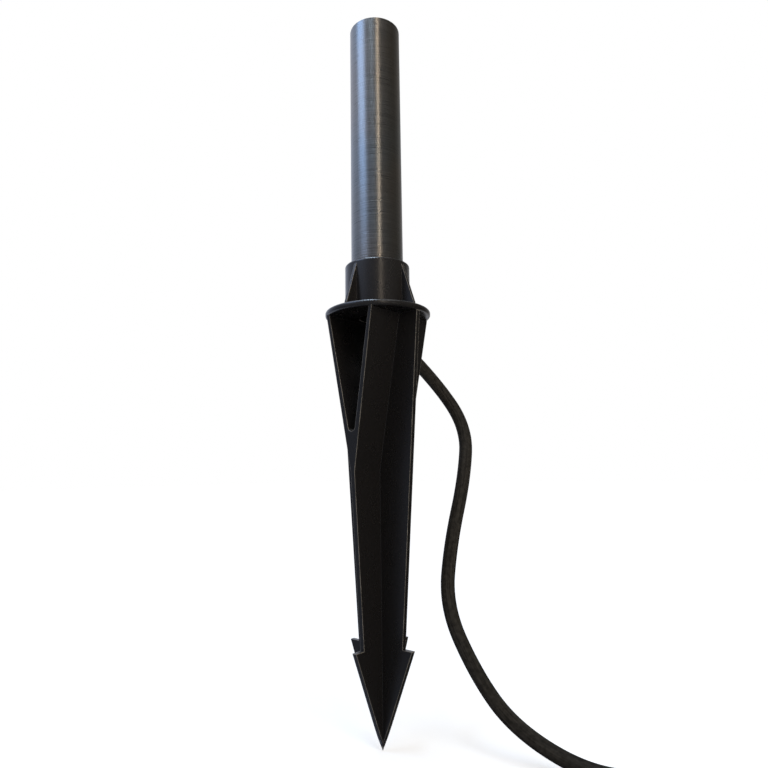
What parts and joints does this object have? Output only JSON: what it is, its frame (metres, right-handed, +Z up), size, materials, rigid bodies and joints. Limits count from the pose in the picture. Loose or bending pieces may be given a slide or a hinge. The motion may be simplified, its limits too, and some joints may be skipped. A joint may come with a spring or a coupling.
{
  "type": "path light stem and ground spike",
  "caption": "Lower end of a garden path light: brushed bronze stem tube turning in a black moulded ground spike with forked, barbed fins and a rubber supply cable with plug.",
  "frame": {"origin": "on the stem's axis at ground level, the underside of the spike's flange", "axes": "+Z up along the stem, +Y toward the window where the cable leaves, +X along a plain fin"},
  "size_m": [0.2653, 0.0964, 0.3418],
  "materials": {
    "stem_bronze": "brushed round the tube, dark bronze",
    "spike_plastic": "glossy black moulding",
    "cable_rubber": "matt dark rubber",
    "bush_brass": "turned brass",
    "core_brown": "brown insulation",
    "core_blue": "blue insulation",
    "core_green": "green and yellow insulation",
    "plated_copper": "tinned copper",
    "tie_plastic": "black strap",
    "plug_rubber": "matt black rubber",
    "plated_brass": "nickel-plated brass"
  },
  "bodies": {
    "spike": {"ground_spike": "spike_plastic", "lead_cable": "cable_rubber", "cable_coil": "cable_rubber", "coil_tie": "tie_plastic", "tail_cable": "cable_rubber", "plug_sleeve": "plug_rubber", "plug_body": "plug_rubber", "plug_pins": "plated_brass", "plug_earth_clips": "plated_brass"},
    "stem": {"stem_tube": "stem_bronze", "head_bush": "bush_brass", "foot_bung": "cable_rubber", "stem_cable": "cable_rubber", "core_live": "core_brown", "core_neutral": "core_blue", "core_earth": "core_green", "core_ferrules": "plated_copper"}
  },
  "joints": [
    {"name": "stem_swivel", "type": "hinge", "parent": "spike", "child": "stem", "pos_m": [0, 0, 0.0142], "axis": [0, 0, 1], "range_deg": [-170, 170]}
  ]
}
